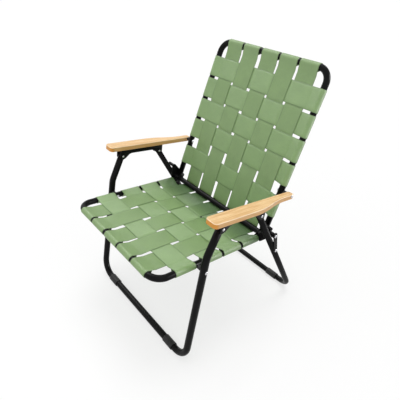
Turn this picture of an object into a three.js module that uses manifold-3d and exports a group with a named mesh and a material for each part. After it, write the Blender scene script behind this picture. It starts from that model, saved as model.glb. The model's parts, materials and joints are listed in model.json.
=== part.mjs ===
// Folding webbed lawn chair: four bent steel tubes, wooden armrests and woven webbing.
// Millimetres, +Z up, the chair faces -Y, and the floor is at z = 0.
import * as THREE from 'three';
import { mergeVertices } from 'three/addons/utils/BufferGeometryUtils.js';
import Module from 'manifold-3d';

const wasm = await Module();
wasm.setup();

// Tubes and sheet metal
const TUBE_RADIUS = 11;
const FRONT_TUBE_RADIUS = 12.3;
const TUBE_WALL = 1.2;
const TUBE_SIDES = 16;
const BORE_SIDES = 8;
const BEND_STEP = Math.PI / 10;
const CURVE_STEPS = 6;
const WELD_TOLERANCE = 1e-4;
const GAP = 0.3;

// Seat: a U of tube, open to the rear, sloping down to the back
const SEAT_FRONT_HEIGHT = 405.14;
const SEAT_SLOPE = THREE.MathUtils.degToRad(-7.8);
const SEAT_HALF_WIDTH = 250;
const SEAT_BEND_RADIUS = 45;
const SEAT_END_CLEARANCE = 17;
const LEG_PIVOT_ALONG = 153;

// Hinge of the back on the seat
const HINGE_ALONG = 463;
const HINGE_RISE = 22.4;
const CROSS_BAR_RADIUS = 10.5;
const CROSS_BAR_BEFORE_HINGE = 6.5;
const CROSS_BAR_RISE = 3.5;
const PLATE_THICKNESS = 3;
const PLATE_LIP = 2;
const PLATE_RIVET_INSET = 13.5;
const STOP_ABOVE_HINGE = 45.2;
const STOP_RADIUS = 6.5;

// Back: a U of tube, open downwards
const BACK_ANGLE = THREE.MathUtils.degToRad(65.46);
const BACK_LENGTH = 565;
const BACK_TAIL = 11;
const BACK_BEND_RADIUS = 45;
const ARM_PIVOT_ALONG = 151.5;

// Legs
const LEG_SPACER_LENGTH = 14;
const LEG_BEND_RADIUS = 58;
const KINK_BEND_RADIUS = 70;
const LEG_TOP = 15;
const FRONT_FOOT_REACH = 65.66;
const LEG_HINGE_CLEARANCE = 0.53;
const KINK_ABOVE_SEAT = 47;

// Foot sleeves
const SLEEVE_WALL = 2.2;
const SLEEVE_FLAT = 0.5;
const SLEEVE_LENGTH = 50;
const SLEEVE_CHAMFER = 1;
const FRONT_SLEEVE_INSET = 78.6;
const REAR_SLEEVE_INSET = 81.6;

// Armrests and their brackets
const ARM_SLOPE = THREE.MathUtils.degToRad(-10.3);
const ARM_UNDERSIDE_BELOW_BOLT = 11.1;
const ARM_THICKNESS = 17.5;
const ARM_FRONT = 54.5;
const ARM_TIP_BEYOND_PIVOT = 11.5;
const ARM_WIDTH = 48;
const ARM_TIP_WIDTH = 25;
const ARM_TAPER_START = 152;
const ARM_TAPER_LENGTH = 90;
const ARM_CORNER = 13;
const ARM_EDGE_ROUND = 3;
const ARM_SPACER_LENGTH = 10.4;
const REAR_PIVOT_ALONG = 166.7;
const BRACKET_THICKNESS = 1.5;
const BRACKET_DEPTH = 15;
const BRACKET_LOBE = 12.5;
const GUSSET_LENGTH = 30;

// Links of the rear legs
const LINK_THICKNESS = 3;
const LINK_END_RADIUS = 7;
const LINK_HUB_RADIUS = 9;
const LINK_HUB_ABOVE_HINGE = 6;
const LINK_RIVET_BELOW_HINGE = 68.75;

// Bolts and rivets
const BOLT_RADIUS = 4;
const RIVET_RADIUS = 3;
const HEAD_RADIUS = 6;
const HEAD_HEIGHT = 2.2;
const SPACER_RADIUS = 7;
const HINGE_SLEEVE_RADIUS = 8.6;
const ROUND_SIDES = 10;
const PLUG_DEPTH = 5.5;
const PLUG_HEAD = 1.5;

// Webbing: plain weave of flat straps, sewn in loops round the tubes
const STRAP_WIDTH = 76;
const STRAP_THICKNESS = 1.5;
const STRAP_LEVEL = 4;
const STRAP_TAIL = 17;
const STRAP_REACH = 33;
const STRAP_SPACING = 4;
const STRAP_SIDE_INSET = 41;
const STRAP_BEND_CLEARANCE = 23.5;
const STRAP_SPACER_CLEARANCE = 1.4;
const STRAP_BEHIND_LEG = 23;
const STRAP_END_INSET = 22.5;
const STRAP_ABOVE_HINGE = 54;
const STRAP_ARM_CLEARANCE = 20.5;
const STRAP_TOP_INSET = 61;
const WEBBING_SAG = 9;
const WEAVE_SLACK = 0.05;
const LOOP_STEPS = 7;
const BAR_WRAP_STEPS = 4;
const STRAP_SPLIT = 0.6;

const paint = { color: 0x17171a, roughness: 0.42, metalness: 0.25 };
const wood = { color: 0xe0b277, roughness: 0.55, metalness: 0 };
const webbing = { color: 0x7f9a66, roughness: 0.85, metalness: 0 };
const zinc = { color: 0xb9bcc0, roughness: 0.3, metalness: 0.9 };
const plastic = { color: 0x101012, roughness: 0.6, metalness: 0 };

const X_AXIS = new THREE.Vector3(1, 0, 0);
const SIDES = { left: 1, right: -1 };
const chair = new THREE.Group();

function place(name, finish, geometry) {
  const mesh = new THREE.Mesh(geometry, new THREE.MeshStandardMaterial(finish));
  mesh.name = name;
  chair.add(mesh);
}

// Joins and cuts

function toSolid(geometry) {
  const bare = geometry.clone();
  bare.deleteAttribute('normal');
  bare.deleteAttribute('uv');
  const merged = mergeVertices(bare, WELD_TOLERANCE);
  const vertProperties = new Float32Array(merged.attributes.position.array);
  const triVerts = new Uint32Array(merged.index.array);
  return new wasm.Manifold(new wasm.Mesh({ numProp: 3, vertProperties, triVerts }));
}

function toGeometry(solid) {
  const mesh = solid.getMesh();
  const geometry = new THREE.BufferGeometry();
  geometry.setAttribute('position', new THREE.BufferAttribute(mesh.vertProperties, 3));
  geometry.setIndex(new THREE.BufferAttribute(mesh.triVerts, 1));
  geometry.computeVertexNormals();
  return geometry;
}

function cut(geometry, tools) {
  let solid = toSolid(geometry);
  for (const tool of tools) {
    solid = solid.subtract(toSolid(tool));
  }
  return toGeometry(solid);
}

function join(geometry, other) {
  return toGeometry(toSolid(geometry).add(toSolid(other)));
}

// Side frames: a point is given by its distance along a slanted line and its height over it

function sideFrame(origin, angle) {
  const along = new THREE.Vector3(0, Math.cos(angle), Math.sin(angle));
  const normal = new THREE.Vector3(0, -Math.sin(angle), Math.cos(angle));
  return { origin, angle, along, normal };
}

function at(frame, distance, height = 0, x = 0) {
  const point = frame.origin.clone();
  point.addScaledVector(frame.along, distance);
  point.addScaledVector(frame.normal, height);
  point.x = x;
  return point;
}

function local(frame, point) {
  const offset = point.clone().sub(frame.origin);
  return [offset.dot(frame.along), offset.dot(frame.normal)];
}

function between(from, to) {
  const step = to.clone().sub(from);
  return sideFrame(from, Math.atan2(step.z, step.y));
}

const SEAT_LENGTH = HINGE_ALONG - SEAT_END_CLEARANCE;
const PLATE_RIVET_ALONG = SEAT_LENGTH - PLATE_RIVET_INSET;
const FRONT_SLEEVE_RADIUS = FRONT_TUBE_RADIUS + GAP + SLEEVE_WALL;
const REAR_SLEEVE_RADIUS = TUBE_RADIUS + GAP + SLEEVE_WALL;

const seat = sideFrame(new THREE.Vector3(0, 0, SEAT_FRONT_HEIGHT), SEAT_SLOPE);
const hinge = at(seat, HINGE_ALONG, HINGE_RISE);
const back = sideFrame(hinge, BACK_ANGLE);
const legPivot = at(seat, LEG_PIVOT_ALONG);
const backPivot = at(back, ARM_PIVOT_ALONG);
const armPivot = at(sideFrame(legPivot, BACK_ANGLE), ARM_PIVOT_ALONG);
const arm = sideFrame(armPivot, ARM_SLOPE);
const rearPivot = at(arm, REAR_PIVOT_ALONG);
const frontFoot = new THREE.Vector3(0, FRONT_FOOT_REACH, FRONT_SLEEVE_RADIUS - SLEEVE_FLAT);
const shin = between(frontFoot, legPivot);
const kink = at(shin, frontFoot.distanceTo(legPivot) + KINK_ABOVE_SEAT);
const thigh = between(armPivot, kink);
const crossBar = at(seat, HINGE_ALONG - CROSS_BAR_BEFORE_HINGE, CROSS_BAR_RISE);
const plateRivet = at(seat, PLATE_RIVET_ALONG);

// The rear leg runs down just in front of the sleeve on the hinge bolt
const legToHinge = TUBE_RADIUS + LEG_HINGE_CLEARANCE + HINGE_SLEEVE_RADIUS;
const pastHinge = Math.asin(legToHinge / rearPivot.distanceTo(hinge));
const rearLeg = sideFrame(rearPivot, between(rearPivot, hinge).angle - pastHinge);
const rearDrop = rearPivot.z - REAR_SLEEVE_RADIUS + SLEEVE_FLAT;
const rearFoot = at(rearLeg, -rearDrop / rearLeg.along.z);
const hingeDownLeg = local(rearLeg, hinge)[0];
const linkRivet = at(rearLeg, hingeDownLeg + LINK_RIVET_BELOW_HINGE);
const stop = at(rearLeg, hingeDownLeg - STOP_ABOVE_HINGE, TUBE_RADIUS + STOP_RADIUS + GAP);

// Layers from the middle of the chair outwards
const TUBE_FACE = SEAT_HALF_WIDTH + TUBE_RADIUS;
const PLATE_INNER = TUBE_FACE + GAP;
const PLATE_OUTER = PLATE_INNER + PLATE_THICKNESS;
const LEG_INNER = TUBE_FACE + GAP + LEG_SPACER_LENGTH + GAP;
const FRONT_LEG_OUTER = LEG_INNER + 2 * FRONT_TUBE_RADIUS;
const REAR_LEG_OUTER = LEG_INNER + 2 * TUBE_RADIUS;
const LINK_INNER = REAR_LEG_OUTER + GAP;
const LINK_OUTER = LINK_INNER + LINK_THICKNESS;
const SEAT_INNER = SEAT_HALF_WIDTH - TUBE_RADIUS;
const LUG_OUTER = SEAT_INNER - GAP;
const LUG_INNER = LUG_OUTER - PLATE_THICKNESS;
const ARM_SPACER_INNER = TUBE_FACE + GAP;
const ARM_INNER = ARM_SPACER_INNER + ARM_SPACER_LENGTH + GAP;
const BRACKET_INNER = LEG_INNER - GAP - BRACKET_THICKNESS;
const BRACKET_OUTER = FRONT_LEG_OUTER + GAP + BRACKET_THICKNESS;

// Bent tubes: rings only where the tube starts, bends and ends

class BentPath extends THREE.Curve {
  constructor(rings) {
    super();
    this.rings = rings;
  }

  getSpacedPoints() {
    return this.rings.map((ring) => ring.point);
  }

  getTangentAt(u) {
    return this.rings[Math.round(u * (this.rings.length - 1))].tangent.clone();
  }
}

function bendRings(corner, before, after, radius) {
  const turn = before.angleTo(after);
  const side = after.clone().addScaledVector(before, -before.dot(after)).normalize();
  const start = corner.clone().addScaledVector(before, -radius * Math.tan(turn / 2));
  const steps = Math.max(2, Math.round(turn / BEND_STEP));
  const rings = [];
  for (let i = 0; i <= steps; i += 1) {
    const angle = (turn * i) / steps;
    const point = start.clone();
    point.addScaledVector(before, radius * Math.sin(angle));
    point.addScaledVector(side, radius * (1 - Math.cos(angle)));
    const tangent = before.clone().multiplyScalar(Math.cos(angle));
    tangent.addScaledVector(side, Math.sin(angle));
    rings.push({ point, tangent });
  }
  return rings;
}

function circle(radius, sides) {
  const outline = [];
  for (let i = 0; i < sides; i += 1) {
    const angle = (2 * Math.PI * (i + 0.5)) / sides;
    outline.push(new THREE.Vector2(radius * Math.cos(angle), radius * Math.sin(angle)));
  }
  return outline;
}

function bentTube(corners, bendRadii, radius = TUBE_RADIUS) {
  const directions = corners.slice(1).map((corner, i) => corner.clone().sub(corners[i]).normalize());
  const rings = [{ point: corners[0], tangent: directions[0] }];
  bendRadii.forEach((bendRadius, i) => {
    rings.push(...bendRings(corners[i + 1], directions[i], directions[i + 1], bendRadius));
  });
  rings.push({ point: corners.at(-1), tangent: directions.at(-1) });
  const section = new THREE.Shape(circle(radius, TUBE_SIDES));
  section.holes.push(new THREE.Path(circle(radius - TUBE_WALL, BORE_SIDES)));
  const extrudePath = new BentPath(rings);
  return new THREE.ExtrudeGeometry(section, { steps: rings.length - 1, extrudePath });
}

// Turned pieces along X: each step runs from x0 to x1 with one radius

function turned(centre, steps, side, sides = ROUND_SIDES) {
  const ordered = side > 0 ? steps : steps.map(([x0, x1, radius]) => [-x1, -x0, radius]).reverse();
  const profile = [new THREE.Vector2(0, ordered[0][0])];
  for (const [x0, x1, radius] of ordered) {
    profile.push(new THREE.Vector2(radius, x0), new THREE.Vector2(radius, x1));
  }
  profile.push(new THREE.Vector2(0, ordered.at(-1)[1]));
  const geometry = new THREE.LatheGeometry(profile, sides);
  geometry.rotateZ(-Math.PI / 2);
  geometry.translate(0, centre.y, centre.z);
  return geometry;
}

function collar(centre, x0, x1, bore, radius, side) {
  const ends = side > 0 ? [x0, x1] : [-x1, -x0];
  const profile = [
    new THREE.Vector2(bore, ends[0]),
    new THREE.Vector2(radius, ends[0]),
    new THREE.Vector2(radius, ends[1]),
    new THREE.Vector2(bore, ends[1]),
    new THREE.Vector2(bore, ends[0]),
  ];
  const geometry = new THREE.LatheGeometry(profile, ROUND_SIDES);
  geometry.rotateZ(-Math.PI / 2);
  geometry.translate(0, centre.y, centre.z);
  return geometry;
}

// Straight through both walls of the tubes on one side, or on both sides with x0 negative
function drill(centre, x0, x1, radius) {
  return turned(centre, [[x0, x1, radius + GAP]], 1);
}

function drillAcross(centre, radius) {
  const reach = ARM_INNER + ARM_WIDTH;
  return drill(centre, -reach, reach, radius);
}

// Flat pieces: an outline in a side frame, extruded along X

function crosswise(frame, shape, x0, x1, side) {
  const [from, to] = side > 0 ? [x0, x1] : [-x1, -x0];
  const options = { depth: to - from, bevelEnabled: false, curveSegments: CURVE_STEPS };
  const geometry = new THREE.ExtrudeGeometry(shape, options);
  geometry.translate(0, 0, from);
  const basis = new THREE.Matrix4().makeBasis(frame.along, frame.normal, X_AXIS);
  geometry.applyMatrix4(basis.setPosition(frame.origin));
  return geometry;
}

// Hull of round lobes, given anticlockwise as [distance, height, radius]
function lobedOutline(lobes) {
  const shape = new THREE.Shape();
  const edgeAngles = lobes.map(([x, y, r], i) => {
    const [nextX, nextY, nextR] = lobes[(i + 1) % lobes.length];
    const lean = Math.acos((r - nextR) / Math.hypot(nextX - x, nextY - y));
    return Math.atan2(nextY - y, nextX - x) - lean;
  });
  lobes.forEach(([x, y, r], i) => {
    shape.absarc(x, y, r, edgeAngles.at(i - 1), edgeAngles[i], false);
  });
  return shape;
}

// Frames of bent tube

function seatFrame() {
  const w = SEAT_HALF_WIDTH;
  const corners = [[-w, SEAT_LENGTH], [-w, 0], [w, 0], [w, SEAT_LENGTH]];
  const points = corners.map(([x, distance]) => at(seat, distance, 0, x));
  const tube = bentTube(points, [SEAT_BEND_RADIUS, SEAT_BEND_RADIUS]);
  return cut(tube, [drillAcross(legPivot, BOLT_RADIUS), drillAcross(plateRivet, RIVET_RADIUS)]);
}

function backFrame() {
  const w = SEAT_HALF_WIDTH;
  const corners = [[-w, -BACK_TAIL], [-w, BACK_LENGTH], [w, BACK_LENGTH], [w, -BACK_TAIL]];
  const points = corners.map(([x, distance]) => at(back, distance, 0, x));
  const tube = bentTube(points, [BACK_BEND_RADIUS, BACK_BEND_RADIUS]);
  return cut(tube, [drillAcross(hinge, BOLT_RADIUS), drillAcross(backPivot, BOLT_RADIUS)]);
}

function legFrame(sidePoints, bendRadii, radius) {
  const points = [];
  for (const side of [-1, 1]) {
    const half = sidePoints.map((point) => point.clone().setX(side * (LEG_INNER + radius)));
    points.push(...(side < 0 ? half : half.reverse()));
  }
  return bentTube(points, [...bendRadii, ...bendRadii.toReversed()], radius);
}

function frontLegFrame() {
  const sidePoints = [at(thigh, -LEG_TOP), kink, frontFoot];
  const tube = legFrame(sidePoints, [KINK_BEND_RADIUS, LEG_BEND_RADIUS], FRONT_TUBE_RADIUS);
  return cut(tube, [drillAcross(armPivot, RIVET_RADIUS), drillAcross(legPivot, BOLT_RADIUS)]);
}

function rearLegFrame() {
  const tube = legFrame([at(rearLeg, -LEG_TOP), rearFoot], [LEG_BEND_RADIUS], TUBE_RADIUS);
  return cut(tube, [drillAcross(rearPivot, RIVET_RADIUS)]);
}

place('seat_frame', paint, seatFrame());
place('back_frame', paint, backFrame());
place('front_leg_frame', paint, frontLegFrame());
place('rear_leg_frame', paint, rearLegFrame());

// Rear cross bar, welded between two lugs on the inner faces of the seat tubes

function rearCrossBar() {
  const [barAlong, barHeight] = local(seat, crossBar);
  const outline = lobedOutline([
    [PLATE_RIVET_ALONG, 0, HEAD_RADIUS + GAP],
    [barAlong, barHeight, CROSS_BAR_RADIUS + PLATE_LIP],
    [HINGE_ALONG, HINGE_RISE, HEAD_RADIUS + PLATE_LIP],
  ]);
  const reach = (LUG_INNER + LUG_OUTER) / 2;
  let bar = turned(crossBar, [[-reach, reach, CROSS_BAR_RADIUS]], 1, TUBE_SIDES);
  for (const side of Object.values(SIDES)) {
    bar = join(bar, crosswise(seat, outline, LUG_INNER, LUG_OUTER, side));
  }
  return cut(bar, [
    drillAcross(crossBar, CROSS_BAR_RADIUS - TUBE_WALL - GAP),
    drillAcross(hinge, BOLT_RADIUS),
    drillAcross(plateRivet, RIVET_RADIUS),
  ]);
}

place('rear_cross_bar', paint, rearCrossBar());

// Foot sleeves, with a flat below to stand on

function footSleeve(foot, x, radius) {
  const bore = radius - SLEEVE_WALL;
  const end = SLEEVE_LENGTH / 2;
  const profile = [
    new THREE.Vector2(bore, -end),
    new THREE.Vector2(radius - SLEEVE_CHAMFER, -end),
    new THREE.Vector2(radius, SLEEVE_CHAMFER - end),
    new THREE.Vector2(radius, end - SLEEVE_CHAMFER),
    new THREE.Vector2(radius - SLEEVE_CHAMFER, end),
    new THREE.Vector2(bore, end),
    new THREE.Vector2(bore, -end),
  ];
  const sleeve = new THREE.LatheGeometry(profile, TUBE_SIDES);
  sleeve.rotateZ(-Math.PI / 2);
  sleeve.translate(x, foot.y, foot.z);
  const below = new THREE.BoxGeometry(2 * SLEEVE_LENGTH, 4 * radius, 2 * radius);
  below.translate(x, foot.y, -radius);
  return cut(sleeve, [below]);
}

for (const [sideName, side] of Object.entries(SIDES)) {
  const frontX = side * (LEG_INNER - FRONT_SLEEVE_INSET);
  const rearX = side * (LEG_INNER - REAR_SLEEVE_INSET);
  place(`front_foot_sleeve_${sideName}`, plastic, footSleeve(frontFoot, frontX, FRONT_SLEEVE_RADIUS));
  place(`rear_foot_sleeve_${sideName}`, plastic, footSleeve(rearFoot, rearX, REAR_SLEEVE_RADIUS));
}

// Hinge plate on the end of each seat tube, with the pin that stops the rear leg

function hingePlate(side) {
  const [barAlong, barHeight] = local(seat, crossBar);
  const [stopAlong, stopHeight] = local(seat, stop);
  const outline = lobedOutline([
    [PLATE_RIVET_ALONG, 0, HEAD_RADIUS + PLATE_LIP],
    [barAlong, barHeight, CROSS_BAR_RADIUS + PLATE_LIP],
    [HINGE_ALONG, HINGE_RISE, TUBE_RADIUS + PLATE_LIP],
    [stopAlong, stopHeight, STOP_RADIUS + PLATE_LIP],
  ]);
  const blank = crosswise(seat, outline, PLATE_INNER, PLATE_OUTER, side);
  const holes = [drillAcross(hinge, BOLT_RADIUS), drillAcross(plateRivet, RIVET_RADIUS)];
  const pin = turned(stop, [[PLATE_INNER + PLATE_THICKNESS / 2, REAR_LEG_OUTER, STOP_RADIUS]], side);
  return join(cut(blank, holes), pin);
}

// Link from the hinge bolt to the rear leg, outside the leg

const linkLength = hinge.distanceTo(linkRivet);

function rearLink(side) {
  const frame = between(hinge, linkRivet);
  const outline = lobedOutline([
    [-LINK_HUB_ABOVE_HINGE, 0, LINK_HUB_RADIUS],
    [linkLength, 0, LINK_END_RADIUS],
  ]);
  const blank = crosswise(frame, outline, LINK_INNER, LINK_OUTER, side);
  return cut(blank, [drillAcross(hinge, BOLT_RADIUS), drillAcross(linkRivet, RIVET_RADIUS)]);
}

// Armrest: flat above, drawn in behind to the width of its tip, which holds the back's bolt

const armRise = local(arm, backPivot)[1] - ARM_UNDERSIDE_BELOW_BOLT;

function armOutline() {
  const tipEnd = local(arm, backPivot)[0] + ARM_TIP_BEYOND_PIVOT;
  const taperEnd = ARM_TAPER_START + ARM_TAPER_LENGTH;
  const tipCorner = ARM_TIP_WIDTH / 3;
  const r = ARM_EDGE_ROUND;
  const shape = new THREE.Shape();
  shape.moveTo(-ARM_FRONT + ARM_CORNER, r);
  shape.lineTo(tipEnd - tipCorner, r);
  shape.quadraticCurveTo(tipEnd - r, r, tipEnd - r, tipCorner);
  shape.lineTo(tipEnd - r, ARM_TIP_WIDTH - tipCorner);
  shape.quadraticCurveTo(tipEnd - r, ARM_TIP_WIDTH - r, tipEnd - tipCorner, ARM_TIP_WIDTH - r);
  shape.lineTo(taperEnd, ARM_TIP_WIDTH - r);
  shape.bezierCurveTo(
    taperEnd - ARM_TAPER_LENGTH / 2, ARM_TIP_WIDTH - r,
    ARM_TAPER_START + ARM_TAPER_LENGTH / 2, ARM_WIDTH - r,
    ARM_TAPER_START, ARM_WIDTH - r,
  );
  shape.lineTo(-ARM_FRONT + ARM_CORNER, ARM_WIDTH - r);
  shape.quadraticCurveTo(-ARM_FRONT + r, ARM_WIDTH - r, -ARM_FRONT + r, ARM_WIDTH - ARM_CORNER);
  shape.lineTo(-ARM_FRONT + r, ARM_CORNER);
  shape.quadraticCurveTo(-ARM_FRONT + r, r, -ARM_FRONT + ARM_CORNER, r);
  return shape;
}

function armrest(side) {
  const options = {
    depth: ARM_THICKNESS - 2 * ARM_EDGE_ROUND,
    bevelEnabled: true,
    bevelThickness: ARM_EDGE_ROUND,
    bevelSize: ARM_EDGE_ROUND,
    bevelSegments: 2,
    curveSegments: 5,
  };
  const geometry = new THREE.ExtrudeGeometry(armOutline(), options);
  geometry.translate(0, 0, ARM_EDGE_ROUND);
  const outward = X_AXIS.clone().multiplyScalar(side);
  const depthwise = arm.normal.clone().multiplyScalar(-side);
  const basis = new THREE.Matrix4().makeBasis(arm.along, outward, depthwise);
  const startHeight = side > 0 ? armRise + ARM_THICKNESS : armRise;
  geometry.applyMatrix4(basis.setPosition(at(arm, 0, startHeight, side * ARM_INNER)));
  return cut(geometry, [drillAcross(backPivot, BOLT_RADIUS)]);
}

// Bracket under the armrest: a channel whose two cheeks hold the leg tops, the outer one
// thicker at the rear, where the leg is thinner

function armBracket(side) {
  const top = armRise - GAP;
  const middle = top - BRACKET_DEPTH;
  const rear = REAR_PIVOT_ALONG;
  const lobe = BRACKET_LOBE;
  const shape = new THREE.Shape();
  shape.moveTo(-lobe, top);
  shape.lineTo(-lobe, 0);
  shape.absarc(0, 0, lobe, Math.PI, 1.75 * Math.PI, false);
  shape.lineTo(GUSSET_LENGTH, middle);
  shape.lineTo(rear - GUSSET_LENGTH, middle);
  shape.absarc(rear, 0, lobe, 1.25 * Math.PI, 2 * Math.PI, false);
  shape.lineTo(rear + lobe, top);
  const block = crosswise(arm, shape, BRACKET_INNER, BRACKET_OUTER, side);
  const under = top - BRACKET_THICKNESS;
  const channels = [[rear / 2, FRONT_LEG_OUTER], [rear + 2 * lobe, REAR_LEG_OUTER]].map(([end, legOuter]) => {
    const channel = new THREE.Shape();
    channel.moveTo(-2 * lobe, -2 * lobe);
    channel.lineTo(end, -2 * lobe);
    channel.lineTo(end, under);
    channel.lineTo(-2 * lobe, under);
    return crosswise(arm, channel, LEG_INNER - GAP, legOuter + GAP, side);
  });
  const holes = [drillAcross(armPivot, RIVET_RADIUS), drillAcross(rearPivot, RIVET_RADIUS)];
  return cut(block, [...channels, ...holes]);
}

// Bolts, rivets, spacers and plugs of one side

function headed(centre, x0, x1, radius, side) {
  return turned(centre, [
    [x0 - GAP - HEAD_HEIGHT, x0 - GAP, HEAD_RADIUS],
    [x0 - GAP, x1 + GAP, radius],
    [x1 + GAP, x1 + GAP + HEAD_HEIGHT, HEAD_RADIUS],
  ], side);
}

function tubePlug(frame, end, side) {
  const bore = (TUBE_RADIUS - TUBE_WALL) * Math.cos(Math.PI / BORE_SIDES) - GAP;
  const profile = [
    new THREE.Vector2(0, -PLUG_DEPTH),
    new THREE.Vector2(bore, -PLUG_DEPTH),
    new THREE.Vector2(bore, GAP),
    new THREE.Vector2(TUBE_RADIUS, GAP),
    new THREE.Vector2(TUBE_RADIUS, GAP + PLUG_HEAD),
    new THREE.Vector2(0, GAP + PLUG_HEAD),
  ];
  const geometry = new THREE.LatheGeometry(profile, ROUND_SIDES);
  const outward = end > 0 ? frame.along : frame.along.clone().negate();
  const turn = new THREE.Quaternion().setFromUnitVectors(new THREE.Vector3(0, 1, 0), outward);
  geometry.applyQuaternion(turn);
  const mouth = at(frame, end, 0, side * SEAT_HALF_WIDTH);
  geometry.translate(mouth.x, mouth.y, mouth.z);
  return geometry;
}

for (const [sideName, side] of Object.entries(SIDES)) {
  const armTip = ARM_INNER + ARM_TIP_WIDTH;
  const boltBore = BOLT_RADIUS + GAP;
  place(`hinge_plate_${sideName}`, paint, hingePlate(side));
  place(`rear_link_${sideName}`, paint, rearLink(side));
  place(`armrest_${sideName}`, wood, armrest(side));
  place(`arm_bracket_${sideName}`, paint, armBracket(side));
  place(`front_arm_rivet_${sideName}`, zinc,
    headed(armPivot, BRACKET_INNER, BRACKET_OUTER, RIVET_RADIUS, side));
  place(`rear_arm_rivet_${sideName}`, zinc,
    headed(rearPivot, BRACKET_INNER, BRACKET_OUTER, RIVET_RADIUS, side));
  place(`arm_back_bolt_${sideName}`, zinc, headed(backPivot, SEAT_INNER, armTip, BOLT_RADIUS, side));
  place(`arm_back_spacer_${sideName}`, plastic,
    collar(backPivot, ARM_SPACER_INNER, ARM_SPACER_INNER + ARM_SPACER_LENGTH, boltBore, SPACER_RADIUS, side));
  place(`seat_leg_bolt_${sideName}`, zinc, headed(legPivot, SEAT_INNER, FRONT_LEG_OUTER, BOLT_RADIUS, side));
  place(`seat_leg_spacer_${sideName}`, plastic,
    collar(legPivot, TUBE_FACE + GAP, LEG_INNER - GAP, boltBore, SPACER_RADIUS, side));
  place(`hinge_bolt_${sideName}`, zinc, headed(hinge, LUG_INNER, LINK_OUTER, BOLT_RADIUS, side));
  place(`hinge_sleeve_${sideName}`, paint,
    collar(hinge, PLATE_OUTER + GAP, LINK_INNER - GAP, boltBore, HINGE_SLEEVE_RADIUS, side));
  place(`link_rivet_${sideName}`, zinc, turned(linkRivet, [
    [LINK_INNER, LINK_OUTER + GAP, RIVET_RADIUS],
    [LINK_OUTER + GAP, LINK_OUTER + GAP + HEAD_HEIGHT, HEAD_RADIUS],
  ], side));
  place(`plate_rivet_${sideName}`, paint, headed(plateRivet, LUG_INNER, PLATE_OUTER, RIVET_RADIUS, side));
  place(`seat_tube_plug_${sideName}`, plastic, tubePlug(seat, SEAT_LENGTH, side));
  place(`back_tube_plug_${sideName}`, plastic, tubePlug(back, -BACK_TAIL, side));
}

// Straps: a thin line with thickness, drawn in a plane and extruded over the strap's width

const WEAVE_RISE = (STRAP_THICKNESS + GAP) / 2 + WEAVE_SLACK;

function strapOutline(points) {
  const half = STRAP_THICKNESS / 2;
  const sides = [[], []];
  points.forEach((point, i) => {
    const before = points[i].clone().sub(points[Math.max(i - 1, 0)]).normalize();
    const after = points[Math.min(i + 1, points.length - 1)].clone().sub(points[i]).normalize();
    const middle = before.clone().add(after).normalize();
    const reference = after.lengthSq() > 0 ? after : before;
    const reach = half / Math.max(middle.dot(reference), 0.5);
    const across = new THREE.Vector2(-middle.y, middle.x).multiplyScalar(reach);
    sides[0].push(point.clone().sub(across));
    sides[1].push(point.clone().add(across));
  });
  return new THREE.Shape([...sides[0], ...sides[1].reverse()]);
}

// Line round a tube at the origin, from the sewn tail below to the strap's level above
function loopLine(level) {
  const leave = new THREE.Vector2(STRAP_REACH, level);
  const line = TUBE_RADIUS + GAP + STRAP_THICKNESS / 2;
  const last = Math.atan2(leave.y, leave.x) + Math.acos(line / leave.length()) - 2 * Math.PI;
  const touch = new THREE.Vector2(line * Math.cos(last), line * Math.sin(last));
  const tailEnd = touch.clone().lerp(leave, (STRAP_TAIL - touch.x) / (STRAP_REACH - touch.x));
  tailEnd.y -= STRAP_THICKNESS + 2 * GAP;
  const first = Math.atan2(tailEnd.y, tailEnd.x) - Math.acos(line / tailEnd.length());
  const radius = line / Math.cos((first - last) / LOOP_STEPS / 2);
  const points = [tailEnd];
  for (let i = 0; i <= LOOP_STEPS; i += 1) {
    const angle = first + ((last - first) * i) / LOOP_STEPS;
    points.push(new THREE.Vector2(radius * Math.cos(angle), radius * Math.sin(angle)));
  }
  points.push(leave);
  return points;
}

// Centres of as many straps as fit between two edges, evenly spread
function spread(from, to) {
  const count = Math.floor((to - from + STRAP_SPACING) / (STRAP_WIDTH + STRAP_SPACING));
  const first = from + STRAP_WIDTH / 2;
  const last = to - STRAP_WIDTH / 2;
  if (count === 1) {
    return [(first + last) / 2];
  }
  return Array.from({ length: count }, (_, i) => first + ((last - first) * i) / (count - 1));
}

const longEdge = SEAT_HALF_WIDTH - STRAP_SIDE_INSET;
const longStraps = spread(-longEdge, longEdge);
const beforeLegs = LEG_PIVOT_ALONG - SPACER_RADIUS - STRAP_SPACER_CLEARANCE;
const behindLegs = LEG_PIVOT_ALONG + STRAP_BEHIND_LEG;
const seatStraps = [
  ...spread(SEAT_BEND_RADIUS + STRAP_BEND_CLEARANCE, beforeLegs),
  ...spread(behindLegs, SEAT_LENGTH - STRAP_END_INSET),
];
const backStraps = [
  ...spread(STRAP_ABOVE_HINGE, ARM_PIVOT_ALONG - STRAP_ARM_CLEARANCE),
  ...spread(ARM_PIVOT_ALONG + STRAP_ARM_CLEARANCE, BACK_LENGTH - STRAP_TOP_INSET),
].toReversed();

// The long straps are held below and behind the cross bar and pull the weave in towards it
function sagged(fraction) {
  return STRAP_LEVEL - WEBBING_SAG * Math.max(fraction, 0) ** 2;
}

const seatSagLength = seatStraps.at(-1) + STRAP_WIDTH / 2 - LEG_PIVOT_ALONG;
const seatLevels = seatStraps.map((centre) => sagged((centre - LEG_PIVOT_ALONG) / seatSagLength));
const backSagLength = backStraps[0] - backStraps.at(-1) + STRAP_WIDTH / 2;
const backLevels = backStraps.map((centre) => sagged((backStraps[0] - centre) / backSagLength));

// The cross strap j lies over the long strap i where i + j is even
function weaveLevel(i, j, levels) {
  return levels[j] + ((i + j) % 2 === 0 ? WEAVE_RISE : -WEAVE_RISE);
}

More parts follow.
